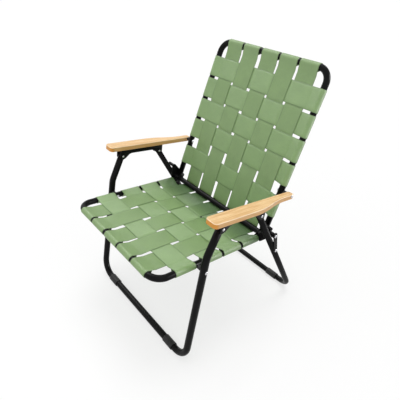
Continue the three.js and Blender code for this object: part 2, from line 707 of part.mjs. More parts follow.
function crossStrap(frame, centre, j, levels) {
  const loop = loopLine(levels[j]);
  const points = loop.map((p) => new THREE.Vector2(p.x - SEAT_HALF_WIDTH, p.y));
  longStraps.forEach((longCentre, i) => {
    for (const edge of [-STRAP_WIDTH / 2, STRAP_WIDTH / 2]) {
      points.push(new THREE.Vector2(longCentre + edge, weaveLevel(i, j, levels)));
    }
  });
  points.push(...loop.toReversed().map((p) => new THREE.Vector2(SEAT_HALF_WIDTH - p.x, p.y)));
  const options = { depth: STRAP_WIDTH, bevelEnabled: false };
  const geometry = new THREE.ExtrudeGeometry(strapOutline(points), options);
  const backward = frame.along.clone().negate();
  const basis = new THREE.Matrix4().makeBasis(X_AXIS, frame.normal, backward);
  return geometry.applyMatrix4(basis.setPosition(at(frame, centre + STRAP_WIDTH / 2)));
}

function woven(i, centres, levels) {
  const points = [];
  centres.forEach((centre, j) => {
    const level = 2 * levels[j] - weaveLevel(i, j, levels);
    const edges = [-STRAP_WIDTH / 2, STRAP_WIDTH / 2];
    points.push(...edges.map((edge) => new THREE.Vector2(centre + edge, level)));
  });
  return points.sort((a, b) => a.x - b.x);
}

// Where the long straps touch the cross bar: below it from the seat, behind it from the back
const barWrap = CROSS_BAR_RADIUS + GAP + STRAP_THICKNESS / 2;

function tangentAngle(from, turn) {
  return from.angle() + turn * Math.acos(barWrap / from.length());
}

function longSeatStrap(i) {
  const line = loopLine(STRAP_LEVEL);
  line.push(...woven(i, seatStraps, seatLevels));
  const bar = new THREE.Vector2(...local(seat, crossBar));
  const firstBackEdge = backStraps.at(-1) - STRAP_WIDTH / 2;
  const upward = new THREE.Vector2(...local(seat, at(back, firstBackEdge, backLevels.at(-1)))).sub(bar);
  const first = tangentAngle(line.at(-1).clone().sub(bar), 1);
  const last = tangentAngle(upward, -1) + 2 * Math.PI;
  const radius = barWrap / Math.cos((last - first) / BAR_WRAP_STEPS / 2);
  for (let step = 0; step <= BAR_WRAP_STEPS; step += 1) {
    const angle = first + ((last - first) * step) / BAR_WRAP_STEPS;
    line.push(new THREE.Vector2(bar.x + radius * Math.cos(angle), bar.y + radius * Math.sin(angle)));
  }
  return strapOutline(line);
}

function longBackStrap(i) {
  const loop = loopLine(STRAP_LEVEL);
  const line = woven(i, backStraps, backLevels);
  const bar = new THREE.Vector2(...local(back, crossBar));
  const downward = line[0].clone().sub(bar);
  const angle = tangentAngle(downward, -1);
  const touch = new THREE.Vector2(bar.x + barWrap * Math.cos(angle), bar.y + barWrap * Math.sin(angle));
  const gap = line[0].clone().sub(touch).normalize().multiplyScalar(STRAP_SPLIT);
  line.unshift(touch.clone().add(gap));
  line.push(...loop.toReversed().map((p) => new THREE.Vector2(BACK_LENGTH - p.x, p.y)));
  return strapOutline(line);
}

seatStraps.forEach((centre, j) => {
  place(`seat_strap_${j + 1}`, webbing, crossStrap(seat, centre, j, seatLevels));
});
backStraps.forEach((centre, j) => {
  place(`back_strap_${j + 1}`, webbing, crossStrap(back, centre, j, backLevels));
});
longStraps.forEach((centre, i) => {
  const x0 = centre - STRAP_WIDTH / 2;
  const x1 = centre + STRAP_WIDTH / 2;
  place(`long_strap_seat_${i + 1}`, webbing, crosswise(seat, longSeatStrap(i), x0, x1, 1));
  place(`long_strap_back_${i + 1}`, webbing, crosswise(back, longBackStrap(i), x0, x1, 1));
});

// Origin: on the floor, in the middle of the chair's width and depth
chair.updateMatrixWorld(true);
const box = new THREE.Box3().setFromObject(chair, true);
chair.position.y = -(box.min.y + box.max.y) / 2;

export default chair;
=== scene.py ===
# Folding lawn chair: bent black tube, woven green straps, wooden armrests.
# Metres, +Z up; the chair faces -Y and the frame gives every place.
import json
import math

import bmesh
import bpy
from mathutils import Matrix, Vector


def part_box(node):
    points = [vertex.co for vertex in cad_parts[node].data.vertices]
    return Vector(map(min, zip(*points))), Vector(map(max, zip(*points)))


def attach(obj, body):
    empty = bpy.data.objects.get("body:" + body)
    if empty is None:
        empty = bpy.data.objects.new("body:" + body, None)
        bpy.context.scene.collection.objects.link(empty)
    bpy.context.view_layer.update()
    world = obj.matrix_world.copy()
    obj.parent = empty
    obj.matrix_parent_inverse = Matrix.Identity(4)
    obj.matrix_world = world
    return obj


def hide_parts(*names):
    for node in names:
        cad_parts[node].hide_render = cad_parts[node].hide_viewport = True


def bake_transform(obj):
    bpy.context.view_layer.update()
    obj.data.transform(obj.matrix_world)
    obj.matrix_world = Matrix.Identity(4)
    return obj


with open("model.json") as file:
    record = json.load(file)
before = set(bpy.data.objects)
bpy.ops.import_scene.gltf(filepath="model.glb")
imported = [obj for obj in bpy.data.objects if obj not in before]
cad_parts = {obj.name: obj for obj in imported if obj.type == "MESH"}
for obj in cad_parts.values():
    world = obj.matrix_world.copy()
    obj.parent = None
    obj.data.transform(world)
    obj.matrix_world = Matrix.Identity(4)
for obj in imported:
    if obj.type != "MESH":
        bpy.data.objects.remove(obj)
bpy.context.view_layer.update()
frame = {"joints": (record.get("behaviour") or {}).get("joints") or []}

# Front legs: one length of 25 mm steel tube, bent to a U with the floor bar in front and a
# kink below each armrest. The tube is powder coated satin black after bending, and its two
# open tops sit in the brackets under the armrests.
FRONT_TUBE_RADIUS = 0.0123
TUBE_WALL = 0.0012
TUBE_SIDES = 40
BEND_STEP = math.radians(5)
FEWEST_BEND_STEPS = 4
LEG_BEND = 0.058
KINK_BEND = 0.070
LEG_TOP = 0.015
KINK_ABOVE_SEAT = 0.047
PAINT_BLACK = (0.003, 0.003, 0.0033, 1)
PAINT_WORN = (0.006, 0.006, 0.0063, 1)
PAINT_GRAIN = 1500
PAINT_GRAIN_DEPTH = 0.00008
PAINT_CLOUD = 22
PAINT_WEAR = (0.35, 0.75)
PAINT_SMOOTH = 0.26
PAINT_DULLING = 0.14
SHARP_EDGE = math.radians(40)


class Shade:
    """A shader socket for use in expressions, with one method that adds any other node."""

    def __init__(self, tree, socket=None):
        self.tree = tree
        self.socket = socket

    def node(self, kind, settings, sockets, output=0):
        made = self.tree.nodes.new(kind)
        for name, value in settings.items():
            setattr(made, name, value)
        for name, value in sockets.items():
            if isinstance(value, Shade):
                self.tree.links.new(value.socket, made.inputs[name])
            else:
                made.inputs[name].default_value = value
        return Shade(self.tree, made.outputs[output] if made.outputs else None)

    def other(self, output):
        return Shade(self.tree, self.socket.node.outputs[output])

    def maths(self, operation, first, second=0.0):
        return self.node("ShaderNodeMath", {"operation": operation}, {0: first, 1: second})

    def mix(self, first, second):
        return self.node("ShaderNodeMix", {"data_type": "RGBA"}, {0: self, 6: first, 7: second}, 2)

    def between(self, low, high):
        return self.node("ShaderNodeMapRange", {"interpolation_type": "SMOOTHSTEP"},
                         {"Value": self, "From Min": low, "From Max": high})

    def __add__(self, other):
        return self.maths("ADD", self, other)

    def __sub__(self, other):
        return self.maths("SUBTRACT", self, other)

    def __rsub__(self, other):
        return self.maths("SUBTRACT", other, self)

    def __mul__(self, other):
        return self.maths("MULTIPLY", self, other)

    __radd__ = __add__
    __rmul__ = __mul__


def start_material(name):
    made = bpy.data.materials.new(name)
    made.use_nodes = True
    made.node_tree.nodes.clear()
    return made, Shade(made.node_tree)


def end_material(shade, sockets):
    surface = shade.node("ShaderNodeBsdfPrincipled", {}, sockets)
    shade.node("ShaderNodeOutputMaterial", {}, {"Surface": surface})


def noise(shade, place, scale, detail=2.0):
    return shade.node("ShaderNodeTexNoise", {}, {"Vector": place, "Scale": scale, "Detail": detail})


def powder_coat():
    made, shade = start_material("black_powder_coat")
    place = shade.node("ShaderNodeTexCoord", {}, {}, "Object")
    grain = noise(shade, place, PAINT_GRAIN)
    cloud = noise(shade, place, PAINT_CLOUD, detail=4)
    bump = shade.node("ShaderNodeBump", {},
                      {"Height": grain, "Strength": 0.35, "Distance": PAINT_GRAIN_DEPTH})
    end_material(shade, {
        "Base Color": cloud.between(*PAINT_WEAR).mix(PAINT_BLACK, PAINT_WORN),
        "Roughness": PAINT_SMOOTH + PAINT_DULLING * cloud,
        "Specular IOR Level": 0.1,
        "Normal": bump,
    })
    return made


black_paint = powder_coat()


def middle(node):
    low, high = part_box(node)
    return (Vector(low) + Vector(high)) / 2


def pivot(name):
    return next(Vector(joint["pos_m"]) for joint in frame["joints"] if joint["name"] == name)


def at_side(point, x):
    return Vector((x, point.y, point.z))


def lengthen(mesh, ring, step):
    """Draws a tube's open ring of edges on by one step, and gives the new ring."""
    edges = [item for item in ring if isinstance(item, bmesh.types.BMEdge)]
    grown = bmesh.ops.extrude_edge_only(mesh, edges=edges)["geom"]
    verts = {item for item in grown if isinstance(item, bmesh.types.BMVert)}
    bmesh.ops.translate(mesh, verts=list(verts), vec=step)
    near = {edge for vert in verts for edge in vert.link_edges}
    return list(verts) + [edge for edge in near if set(edge.verts) <= verts]


def bent_tube(corners, bends, radius):
    """Tube that runs straight from corner to corner and is bent round each one on the way."""
    mesh = bmesh.new()
    heads = [(after - before).normalized() for before, after in zip(corners, corners[1:])]
    facing = heads[0].to_track_quat("Z", "X").to_matrix().to_4x4()
    bmesh.ops.create_circle(mesh, cap_ends=False, radius=radius, segments=TUBE_SIDES,
                            matrix=Matrix.Translation(corners[0]) @ facing)
    ring = mesh.verts[:] + mesh.edges[:]
    spot = corners[0]
    for corner, bend, before, after in zip(corners[1:], bends, heads, heads[1:]):
        turn = before.angle(after)
        setback = bend * math.tan(turn / 2)
        ring = lengthen(mesh, ring, corner - before * setback - spot)
        inward = (after - before * before.dot(after)).normalized()
        centre = corner - before * setback + inward * bend
        spun = bmesh.ops.spin(mesh, geom=ring, cent=centre, axis=before.cross(inward), angle=turn,
                              steps=max(FEWEST_BEND_STEPS, round(turn / BEND_STEP)))
        ring = spun["geom_last"]
        spot = corner + after * setback
    lengthen(mesh, ring, corners[-1] - spot)
    bmesh.ops.recalc_face_normals(mesh, faces=mesh.faces)
    return mesh


def piece(name, mesh, material, slot, body, nodes):
    """Turns a bmesh into a finished piece that stands for its CAD nodes."""
    name = f"finished_{name}"
    data = bpy.data.meshes.new(name)
    mesh.to_mesh(data)
    mesh.free()
    data.materials.append(material)
    data.shade_smooth()
    data.set_sharp_from_angle(angle=SHARP_EDGE)
    made = bpy.data.objects.new(name, data)
    bpy.context.scene.collection.objects.link(made)
    if body:
        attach(made, body)
    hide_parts(*nodes)
    return made


def wall(made, thickness, offset=-1.0):
    solid = made.modifiers.new("wall", "SOLIDIFY")
    solid.thickness = thickness
    solid.offset = offset


def u_frame(name, half, bends, half_width, body, radius):
    """Both sides of a frame from one side's corners, joined by the bar at the last corner."""
    far = [at_side(corner, -half_width) for corner in half]
    near = [at_side(corner, half_width) for corner in reversed(half)]
    tube = bent_tube(far + near, bends + bends[::-1], radius)
    made = piece(name, tube, black_paint, "black_paint", body, [name])
    wall(made, TUBE_WALL)


def floor_bar(sleeve):
    """Middle of the floor bar in a foot sleeve, which is flat below, and the sleeve's radius."""
    low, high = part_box(sleeve)
    radius = (high[1] - low[1]) / 2
    return Vector((0, middle(sleeve).y, high[2] - radius)), radius


front_half_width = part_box("front_leg_frame")[1][0] - FRONT_TUBE_RADIUS
seat_pivot = pivot("front_leg_fold")
arm_front = at_side(middle("front_arm_rivet_left"), 0)
front_foot, front_sleeve_radius = floor_bar("front_foot_sleeve_left")
kink = seat_pivot + (seat_pivot - front_foot).normalized() * KINK_ABOVE_SEAT
leg_tip = arm_front + (arm_front - kink).normalized() * LEG_TOP
u_frame("front_leg_frame", [leg_tip, kink, front_foot], [KINK_BEND, LEG_BEND], front_half_width, "front_legs",
        FRONT_TUBE_RADIUS)

# Rear legs: a second U, of 22 mm tube, straight from the armrest brackets down to its floor
# bar behind the chair, bent and coated like the front one.
TUBE_RADIUS = 0.011
rear_half_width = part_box("rear_leg_frame")[1][0] - TUBE_RADIUS
arm_rear = pivot("rear_leg_fold")
rear_foot, rear_sleeve_radius = floor_bar("rear_foot_sleeve_left")
rear_tip = arm_rear + (arm_rear - rear_foot).normalized() * LEG_TOP
u_frame("rear_leg_frame", [rear_tip, rear_foot], [LEG_BEND], rear_half_width, "rear_legs", TUBE_RADIUS)

# Foot sleeves: four short black plastic tubes pushed over the floor bars before bending.
# They keep the coating off the ground, are flat below and have softened ends.
SLEEVE_LIP = 0.0008
ROUND_SIDES = 64
MERGE = 1e-6
PLASTIC_BLACK = (0.011, 0.011, 0.0115, 1)
PLASTIC_SCUFFED = (0.03, 0.029, 0.028, 1)
PLASTIC_PEBBLE = 1400.0
PLASTIC_PEBBLE_DEPTH = 0.0001
PLASTIC_SCUFF = 60
PLASTIC_SCUFF_SPAN = (0.52, 0.72)
PLASTIC_SMOOTH = 0.55
PLASTIC_DULLING = 0.15


def moulded_plastic():
    made, shade = start_material("black_moulded_plastic")
    place = shade.node("ShaderNodeTexCoord", {}, {}, "Object")
    pebble = shade.node("ShaderNodeTexVoronoi", {}, {"Vector": place, "Scale": PLASTIC_PEBBLE})
    scuff = noise(shade, place, PLASTIC_SCUFF, detail=5).between(*PLASTIC_SCUFF_SPAN)
    bump = shade.node("ShaderNodeBump", {},
                      {"Height": pebble, "Strength": 0.4, "Distance": PLASTIC_PEBBLE_DEPTH})
    end_material(shade, {
        "Base Color": scuff.mix(PLASTIC_BLACK, PLASTIC_SCUFFED),
        "Roughness": PLASTIC_SMOOTH + PLASTIC_DULLING * scuff,
        "Specular IOR Level": 0.35,
        "Normal": bump,
    })
    return made


black_plastic = moulded_plastic()


def turned(profile, closed=False, rounding=0.0):
    """Round piece about the X axis: the profile gives distances along X and radii."""
    mesh = bmesh.new()
    verts = [mesh.verts.new((x, 0, radius)) for x, radius in profile]
    pairs = list(zip(verts, verts[1:] + verts[:1]))
    for first, second in pairs if closed else pairs[:-1]:
        mesh.edges.new((first, second))
    if rounding:
        corners = [vert for vert in verts if len(vert.link_edges) == 2]
        bmesh.ops.bevel(mesh, geom=corners, offset=rounding, segments=4, profile=0.5,
                        affect="VERTICES", material=-1)
    bmesh.ops.spin(mesh, geom=mesh.verts[:] + mesh.edges[:], cent=(0, 0, 0), axis=(1, 0, 0),
                   angle=2 * math.pi, steps=ROUND_SIDES, use_merge=True)
    bmesh.ops.remove_doubles(mesh, verts=mesh.verts, dist=MERGE)
    bmesh.ops.recalc_face_normals(mesh, faces=mesh.faces)
    return mesh


def collar(x0, x1, bore, radius, rounding):
    return turned([(x0, bore), (x0, radius), (x1, radius), (x1, bore)], closed=True, rounding=rounding)


SIDES = {"left": 1, "right": -1}

for side in SIDES:
    for legs, body, foot, bore, radius in (
        ("front", "front_legs", front_foot, FRONT_TUBE_RADIUS, front_sleeve_radius),
        ("rear", "rear_legs", rear_foot, TUBE_RADIUS, rear_sleeve_radius),
    ):
        name = f"{legs}_foot_sleeve_{side}"
        low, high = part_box(name)
        sleeve = collar(low[0], high[0], bore, radius, SLEEVE_LIP)
        bmesh.ops.translate(sleeve, verts=sleeve.verts, vec=foot)
        cut = bmesh.ops.bisect_plane(sleeve, geom=sleeve.verts[:] + sleeve.edges[:] + sleeve.faces[:],
                                     plane_co=(0, 0, 0), plane_no=(0, 0, -1), clear_outer=True)
        rim = [item for item in cut["geom_cut"] if isinstance(item, bmesh.types.BMEdge)]
        bmesh.ops.edgeloop_fill(sleeve, edges=rim)
        piece(name, sleeve, black_plastic, "black_plastic", body, [name])

# Seat frame: a U of the same tube, closed in front and open to the rear, where its two ends
# carry the hinge plates. It slopes down to the back and hangs on the front legs by two bolts.
SEAT_HALF_WIDTH = 0.250
SEAT_FRONT_TO_BOLT = 0.153
SEAT_BEND = 0.045
SEAT_END_BEHIND_RIVET = 0.0135


def slanted(origin, toward):
    """Space with Y along the line between two points of the side view and Z square to it."""
    step = toward - origin
    return Matrix.Translation(at_side(origin, 0)) @ Matrix.Rotation(math.atan2(step.z, step.y), 4, "X")


plate_rivet = middle("plate_rivet_left")
seat_space = slanted(seat_pivot, plate_rivet) @ Matrix.Translation((0, -SEAT_FRONT_TO_BOLT, 0))
seat_front = seat_space.translation
seat_end = seat_space @ Vector((0, (seat_space.inverted() @ plate_rivet).y + SEAT_END_BEHIND_RIVET, 0))
u_frame("seat_frame", [seat_end, seat_front], [SEAT_BEND], SEAT_HALF_WIDTH, "seat", TUBE_RADIUS)

# Rear cross bar: a straight 21 mm tube, welded between two stamped lugs that sit on the inner
# faces of the seat tubes, on the hinge bolts and plate rivets. The long straps turn up behind it.
BAR_RADIUS = 0.0105
BAR_BEFORE_HINGE = 0.0065
BAR_RISE = 0.0035
BAR_EDGE = 0.0004
WELD_WIDTH = 0.0022
WELD_HEIGHT = 0.0012
PLATE_LIP = 0.002
PLATE_EDGE = 0.0006
PLATE_THICKNESS = 0.003
HEAD_RADIUS = 0.006
RIM_ANGLE = 1.0
FLAT_ANGLE = math.radians(0.5)


def lobed_plate(lobes, x0, x1):
    """Flat plate across X: the hull of round lobes, with its stamped edges eased."""
    mesh = bmesh.new()
    for centre, radius in lobes:
        place = Matrix.Translation(at_side(centre, (x0 + x1) / 2)) @ Matrix.Rotation(math.pi / 2, 4, "Y")
        bmesh.ops.create_cone(mesh, cap_ends=True, segments=ROUND_SIDES, radius1=radius, radius2=radius,
                              depth=abs(x1 - x0), matrix=place)
    hull = bmesh.ops.convex_hull(mesh, input=mesh.verts, use_existing_faces=False)
    spare = {item for key in ("geom_interior", "geom_unused") for item in hull[key]}
    bmesh.ops.delete(mesh, geom=[item for item in spare if isinstance(item, bmesh.types.BMVert)],
                     context="VERTS")
    inside = [face for face in mesh.faces if all(len(edge.link_faces) > 2 for edge in face.edges)]
    bmesh.ops.delete(mesh, geom=inside, context="FACES")
    bmesh.ops.dissolve_limit(mesh, angle_limit=FLAT_ANGLE, verts=mesh.verts, edges=mesh.edges)
    rims = [edge for edge in mesh.edges if edge.is_manifold and edge.calc_face_angle() > RIM_ANGLE]
    bmesh.ops.bevel(mesh, geom=rims, offset=PLATE_EDGE, segments=2, profile=0.5, affect="EDGES", material=-1)
    return mesh


def add(mesh, other):
    """Moves another bmesh's faces into this one."""
    spare = bpy.data.meshes.new("spare")
    other.to_mesh(spare)
    other.free()
    mesh.from_mesh(spare)
    bpy.data.meshes.remove(spare)


hinge = pivot("back_fold")
hinge_along = (seat_space.inverted() @ hinge).y
cross_bar = seat_space @ Vector((0, hinge_along - BAR_BEFORE_HINGE, BAR_RISE))
lug_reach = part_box("rear_cross_bar")[1][0]
lug_inner = lug_reach - PLATE_THICKNESS
bar = collar(-lug_inner, lug_inner, BAR_RADIUS - TUBE_WALL, BAR_RADIUS, BAR_EDGE)
for weld in (-lug_inner, lug_inner - WELD_WIDTH):
    add(bar, collar(weld, weld + WELD_WIDTH, BAR_RADIUS - TUBE_WALL, BAR_RADIUS + WELD_HEIGHT, WELD_HEIGHT))
bmesh.ops.translate(bar, verts=bar.verts, vec=cross_bar)
lug_lobes = [(plate_rivet, HEAD_RADIUS), (cross_bar, BAR_RADIUS + PLATE_LIP),
             (hinge, HEAD_RADIUS + PLATE_LIP)]
for sign in SIDES.values():
    add(bar, lobed_plate(lug_lobes, sign * lug_inner, sign * lug_reach))
made = piece("rear_cross_bar", bar, black_paint, "black_paint", "seat", ["rear_cross_bar"])
made.modifiers.new("even_faces", "WEIGHTED_NORMAL")

# Hinge plates: stamped 3 mm steel riveted on the outside of the seat tubes' ends. Each one
# holds the bolt of the back and a fixed pin that stops the rear leg.
STOP_RADIUS = 0.0065
STOP_ABOVE_HINGE = 0.0452
STOP_EDGE = 0.002
rear_leg_space = slanted(arm_rear, rear_foot)
hinge_down_leg = (rear_leg_space.inverted() @ hinge).y
stop = rear_leg_space @ Vector((0, hinge_down_leg - STOP_ABOVE_HINGE, TUBE_RADIUS + STOP_RADIUS))
plate_lobes = [(plate_rivet, HEAD_RADIUS + PLATE_LIP), (cross_bar, BAR_RADIUS + PLATE_LIP),
               (hinge, TUBE_RADIUS + PLATE_LIP), (stop, STOP_RADIUS + PLATE_LIP)]
for side, sign in SIDES.items():
    name = f"hinge_plate_{side}"
    low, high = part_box(name)
    inner, outer = (low[0], high[0]) if sign > 0 else (high[0], low[0])
    plate = lobed_plate(plate_lobes, inner, inner + sign * PLATE_THICKNESS)
    pin = turned([(inner, 0), (inner, STOP_RADIUS), (outer, STOP_RADIUS), (outer, 0)], rounding=STOP_EDGE)
    bmesh.ops.translate(pin, verts=pin.verts, vec=stop)
    add(plate, pin)
    made = piece(name, plate, black_paint, "black_paint", "seat", [name])
    made.modifiers.new("even_faces", "WEIGHTED_NORMAL")

# Back frame: the fourth U of tube, closed at the top. Its two lower ends turn on the hinge
# bolts, and the armrests hold it at a third of its height.
BACK_BEND = 0.045
BACK_LENGTH = 0.565
BACK_TAIL = 0.011
back_bolt = at_side(middle("arm_back_bolt_left"), 0)
back_space = slanted(hinge, back_bolt)
back_ends = [back_space @ Vector((0, along, 0)) for along in (-BACK_TAIL, BACK_LENGTH)]
u_frame("back_frame", back_ends, [BACK_BEND], SEAT_HALF_WIDTH, "back", TUBE_RADIUS)

# Tube plugs: black plastic caps in the open ends of the seat tubes and of the back tubes,
# pushed in after coating, with a low round head on the mouth of the tube.
PLUG_HEAD = 0.0018
PLUG_DEPTH = 0.005
PLUG_EDGE = 0.0009


def plug(name, mouth, outward, body):
    bore = TUBE_RADIUS - TUBE_WALL
    cap = turned([(-PLUG_DEPTH, 0), (-PLUG_DEPTH, bore), (0, bore), (0, TUBE_RADIUS),
                  (PLUG_HEAD, TUBE_RADIUS), (PLUG_HEAD, 0)], rounding=PLUG_EDGE)
    facing = outward.to_track_quat("X", "Z").to_matrix().to_4x4()
    bmesh.ops.transform(cap, verts=cap.verts, matrix=Matrix.Translation(mouth) @ facing)
    piece(name, cap, black_plastic, "black_plastic", body, [name])


rearward = (seat_end - seat_front).normalized()
downward = (back_ends[0] - back_ends[1]).normalized()
for side, sign in SIDES.items():
    plug(f"seat_tube_plug_{side}", at_side(seat_end, sign * SEAT_HALF_WIDTH), rearward, "seat")
    plug(f"back_tube_plug_{side}", at_side(back_ends[0], sign * SEAT_HALF_WIDTH), downward, "back")

# Links: flat steel bars on the outside of the rear legs, from the hinge bolt down to a rivet
# on the leg. They tie the rear legs to the seat and fold up between them.
LINK_HUB_RADIUS = 0.009
LINK_HUB_ABOVE_HINGE = 0.006
LINK_END_RADIUS = 0.007
for side in SIDES:
    name = f"rear_link_{side}"
    low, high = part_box(name)
    rivet = middle(f"link_rivet_{side}")
    hub = hinge + (hinge - at_side(rivet, 0)).normalized() * LINK_HUB_ABOVE_HINGE
    link = lobed_plate([(hub, LINK_HUB_RADIUS), (rivet, LINK_END_RADIUS)], low[0], high[0])
    made = piece(name, link, black_paint, "black_paint", f"link_{side}", [name])
    made.modifiers.new("even_faces", "WEIGHTED_NORMAL")

# Armrest brackets: channels folded from 1.5 mm sheet steel and coated black. Their two cheeks
# reach down over the leg tops in a gusset at each end, and the web is screwed up into the wood.
BRACKET_SHEET = 0.0015
BRACKET_DEPTH = 0.015
BRACKET_LOBE = 0.0125
BRACKET_TOP = 0.0245
GUSSET_LENGTH = 0.030
GUSSET_CURVE = 0.008
FOLD_RADIUS = 0.0022
arm_space = slanted(arm_front, arm_rear)
rear_along = (arm_space.inverted() @ arm_rear).y


def bracket(half_width):
    """Folded channel about X = 0, in the armrest's space: half of it, mirrored."""
    mesh = bmesh.new()
    lobe = BRACKET_LOBE
    under = BRACKET_TOP - BRACKET_DEPTH
    outline = [(-lobe, BRACKET_TOP), (-lobe, -lobe), (lobe / 2, -lobe), (GUSSET_LENGTH, under),
               (rear_along - GUSSET_LENGTH, under), (rear_along - lobe / 2, -lobe),
               (rear_along + lobe, -lobe), (rear_along + lobe, BRACKET_TOP)]
    verts = [mesh.verts.new((half_width, along, rise)) for along, rise in outline]
    mesh.faces.new(verts)
    fold = mesh.edges.get((verts[0], verts[-1]))
    web = bmesh.ops.extrude_edge_only(mesh, edges=[fold])["geom"]
    bmesh.ops.translate(mesh, verts=[item for item in web if isinstance(item, bmesh.types.BMVert)],
                        vec=(-half_width, 0, 0))
    bmesh.ops.bevel(mesh, geom=verts[1:-1], offset=GUSSET_CURVE, segments=6, profile=0.5,
                    affect="VERTICES", material=-1)
    bmesh.ops.mirror(mesh, geom=mesh.verts[:] + mesh.edges[:] + mesh.faces[:], axis="X", merge_dist=MERGE)
    folds = [edge for edge in mesh.edges if edge.is_manifold and edge.calc_face_angle() > RIM_ANGLE]
    bmesh.ops.bevel(mesh, geom=folds, offset=FOLD_RADIUS, segments=4, profile=0.5, affect="EDGES",
                    material=-1)
    bmesh.ops.recalc_face_normals(mesh, faces=mesh.faces)
    return mesh


for side in SIDES:
    name = f"arm_bracket_{side}"
    low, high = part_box(name)
    channel = bracket((high[0] - low[0]) / 2)
    place = Matrix.Translation((middle(name).x, 0, 0)) @ arm_space
    bmesh.ops.transform(channel, verts=channel.verts, matrix=place)
    made = piece(name, channel, black_paint, "black_paint", f"arm_{side}", [name])
    wall(made, BRACKET_SHEET)

# Armrests: solid light hardwood with a clear varnish, sawn to shape, rounded along the edges.
# They are wide in front, drawn in behind on the outside, and bolted through the tip to the back.
ARM_RISE = 0.0248
ARM_THICKNESS = 0.0175
ARM_FRONT = 0.0545
ARM_TIP_BEYOND_BOLT = 0.0115
ARM_WIDTH = 0.048
ARM_TIP_WIDTH = 0.025
ARM_TAPER_START = 0.152
ARM_TAPER_END = 0.242
ARM_CORNER = 0.013
ARM_TIP_CORNER = 0.008
ARM_SWEEP = 0.034
ARM_EDGE = 0.002
END_GRAIN = 0.019
END_GRAIN_CORE = END_GRAIN / 3
EASED = 0.0030
EDGE_HIGHLIGHT_START = 0.0005
WOOD_PALE = (0.87, 0.61, 0.325, 1)
WOOD_HONEY = (0.71, 0.42, 0.175, 1)
WOOD_PORE = (0.42, 0.20, 0.06, 1)
# Pale colour of the painted highlight on the eased top edge.
WOOD_EDGE_HIGHLIGHT = (0.94, 0.80, 0.58, 1)
# Orange-brown of the painted shade on the sides below the top.
WOOD_SIDE_SHADE = (0.60, 0.31, 0.095, 1)
WOOD_END = (0.60, 0.25, 0.025, 1)
FIGURE_SCALE = (60, 3.2, 46)
FIBRE_SCALE = (420, 9, 420)
PORE_SCALE = (1500, 45, 1500)
PORE_SPAN = (0.60, 0.72)
PORE_SHARE = 0.4
BAND_COUNT = 46.0
BAND_SHARE = 0.45
FIBRE_SHARE = 0.75
TONE_SPAN = (0.2, 0.95)
EDGE_HIGHLIGHT_SHARE = 0.55
SIDE_SHADE_SHARE = 0.7
WOOD_SMOOTH = 0.42
WOOD_DULLING = 0.16
FIBRE_DEPTH = 0.0002
arm_origin = arm_space.to_3x3().inverted() @ arm_space.translation
arm_start = arm_origin.y - ARM_FRONT
arm_top = arm_origin.z + ARM_RISE + ARM_THICKNESS


def drawn_out(shade, place, scale, detail=2.0):
    """Noise with a scale of its own along each axis."""
    return noise(shade, shade.node("ShaderNodeMapping", {}, {"Vector": place, "Scale": scale}), 1.0, detail)


def varnished_wood():
    """Grain along the armrest, end grain in front, a painted highlight as a pale line on the eased top edge,
    and painted shade on the sides below it.
    """
    made, shade = start_material("varnished_hardwood")
    place = shade.node("ShaderNodeTexCoord", {}, {}, "Object")
    lengthwise = shade.node("ShaderNodeMapping", {"vector_type": "TEXTURE"},
                            {"Vector": place, "Rotation": arm_space.to_euler()})
    figure = drawn_out(shade, lengthwise, FIGURE_SCALE, detail=3)
    fibre = drawn_out(shade, lengthwise, FIBRE_SCALE, detail=4)
    bands = shade.maths("SINE", figure * BAND_COUNT) * 0.5 + 0.5
    tone = (BAND_SHARE * bands + FIBRE_SHARE * fibre).between(*TONE_SPAN)
    pores = drawn_out(shade, lengthwise, PORE_SCALE).between(*PORE_SPAN) * PORE_SHARE
    along = shade.node("ShaderNodeSeparateXYZ", {}, {"Vector": lengthwise}, "Y")
    front = 1 - (along - arm_start).between(END_GRAIN_CORE, END_GRAIN)
    below = arm_top - along.other("Z")
    # Painted shade: the sides below the eased edge are darker than the top.
    side = below.between(ARM_EDGE, EASED)
    # Painted highlight: a pale line on the eased top edge.
    painted_edge_highlight = below.between(0.0, EDGE_HIGHLIGHT_START) * (1 - side)
    top = (EDGE_HIGHLIGHT_SHARE * painted_edge_highlight).mix(pores.mix(tone.mix(WOOD_PALE, WOOD_HONEY), WOOD_PORE), WOOD_EDGE_HIGHLIGHT)
    side_shaded = (SIDE_SHADE_SHARE * side).mix(top, WOOD_SIDE_SHADE)
    bump = shade.node("ShaderNodeBump", {},
                      {"Height": fibre - pores, "Strength": 0.25, "Distance": FIBRE_DEPTH})
    end_material(shade, {
        "Base Color": (front * side).mix(side_shaded, WOOD_END),
        "Roughness": WOOD_SMOOTH + WOOD_DULLING * fibre,
        "Coat Weight": 0.12,
        "Coat Roughness": 0.25,
        "Normal": bump,
    })
    return made


wood = varnished_wood()


